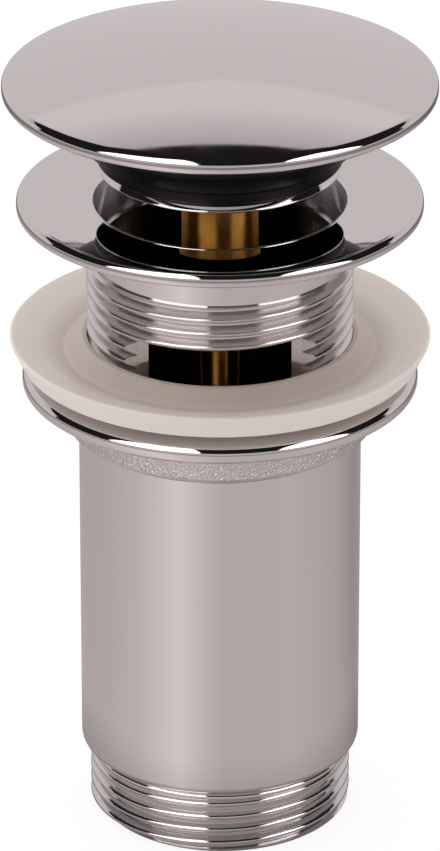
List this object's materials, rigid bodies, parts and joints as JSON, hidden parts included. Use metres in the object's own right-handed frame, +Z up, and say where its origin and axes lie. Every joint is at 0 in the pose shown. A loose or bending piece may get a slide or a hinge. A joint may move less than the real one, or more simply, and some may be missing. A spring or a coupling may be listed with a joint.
{
  "type": "pop up basin waste",
  "caption": "chromed basin waste with a push-down sprung plug, slotted threaded body, white backing gasket and a screwed tailpiece",
  "frame": {"origin": "centre of the outlet end, on the plane the waste stands on", "axes": "+Z up along the waterway towards the plug, +Y through the overflow windows to the back, +X to the right"},
  "size_m": [0.0676, 0.0676, 0.1291],
  "materials": {
    "plated_cap": "polished",
    "plated_retainer": "polished",
    "plated_body": "polished",
    "plated_tail": "polished, cast collar",
    "brass": "turned",
    "black_rubber": "moulded",
    "white_gasket": "moulded",
    "acetal": "moulded",
    "spring_steel": "drawn"
  },
  "bodies": {
    "waste": {"waste_body": "plated_body", "guide_rod": "brass", "rod_lock_nut": "brass", "rotor_clip": "spring_steel", "return_spring": "spring_steel"},
    "plug": {"cap": "plated_cap", "plug_seal": "black_rubber", "seal_retainer": "plated_retainer", "sleeve": "brass", "crown": "acetal", "latch_ring": "acetal", "guide_bush": "acetal"},
    "rotor": {"rotor": "acetal"},
    "gasket": {"backing_gasket": "white_gasket"},
    "tail": {"tailpiece": "plated_tail"}
  },
  "joints": [
    {"name": "plug_push", "type": "slide", "parent": "waste", "child": "plug", "axis": [0, 0, 1], "range_m": [-0.0091, 0], "stiffness_N_per_m": 300, "springref_m": 0.02, "deforming": ["return_spring"]},
    {"name": "rotor_turn", "type": "hinge", "parent": "waste", "child": "rotor", "pos_m": [0, 0, 0.0886], "axis": [0, 0, 1], "continuous": true},
    {"name": "gasket_travel", "type": "slide", "parent": "waste", "child": "gasket", "axis": [0, 0, 1], "range_m": [-0.0093, 0.0186]},
    {"name": "tail_screw", "type": "hinge", "parent": "gasket", "child": "tail", "pos_m": [0, 0, 0.06], "axis": [0, 0, 1], "range_deg": [-1440, 2880]}
  ],
  "couplings": [
    {"joint": "gasket_travel", "follows": "tail_screw", "m_per_rad": 0.00036749}
  ]
}
